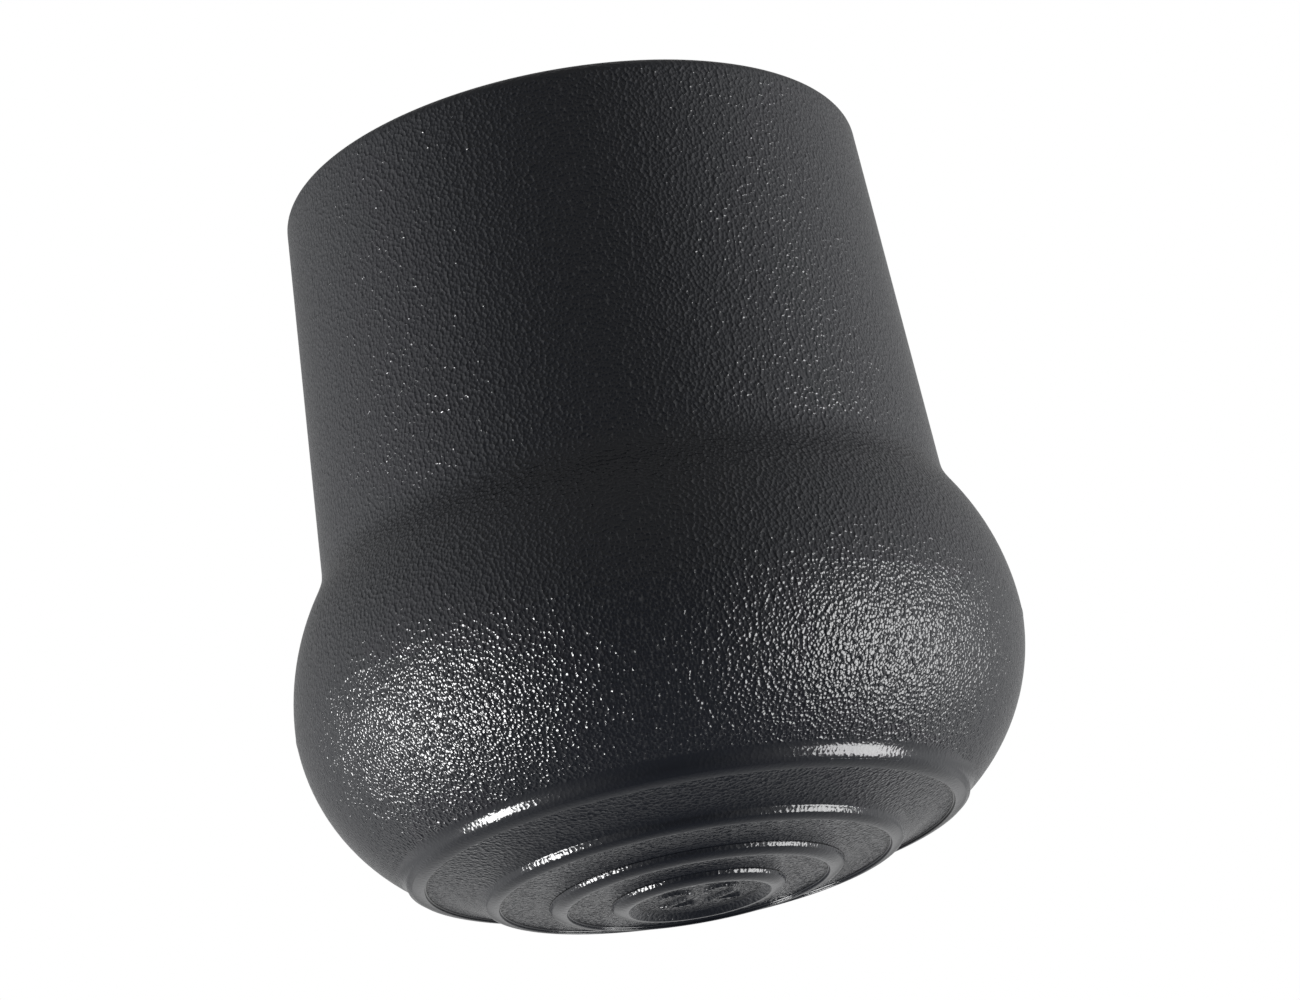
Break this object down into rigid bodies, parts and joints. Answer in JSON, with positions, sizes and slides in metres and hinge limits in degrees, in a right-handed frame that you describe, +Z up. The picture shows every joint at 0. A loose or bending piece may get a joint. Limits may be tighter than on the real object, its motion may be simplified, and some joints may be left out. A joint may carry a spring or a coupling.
{
  "type": "round tube end cap",
  "caption": "Black rubber end cap for a round tube: tapered sleeve over a rounded bulge, with a domed sole of concentric tread ribs.",
  "frame": {"origin": "on the turning axis, level with the lowest rib of the sole, which stands on the floor", "axes": "+Z up the axis, out of the tube's bore; the form is the same all round, so X and Y are free"},
  "size_m": [0.033, 0.033, 0.0348],
  "materials": {
    "moulded_rubber": "fine moulded leather grain, semi-matt black"
  },
  "bodies": {
    "root": {"end_cap": "moulded_rubber"}
  },
  "joints": []
}
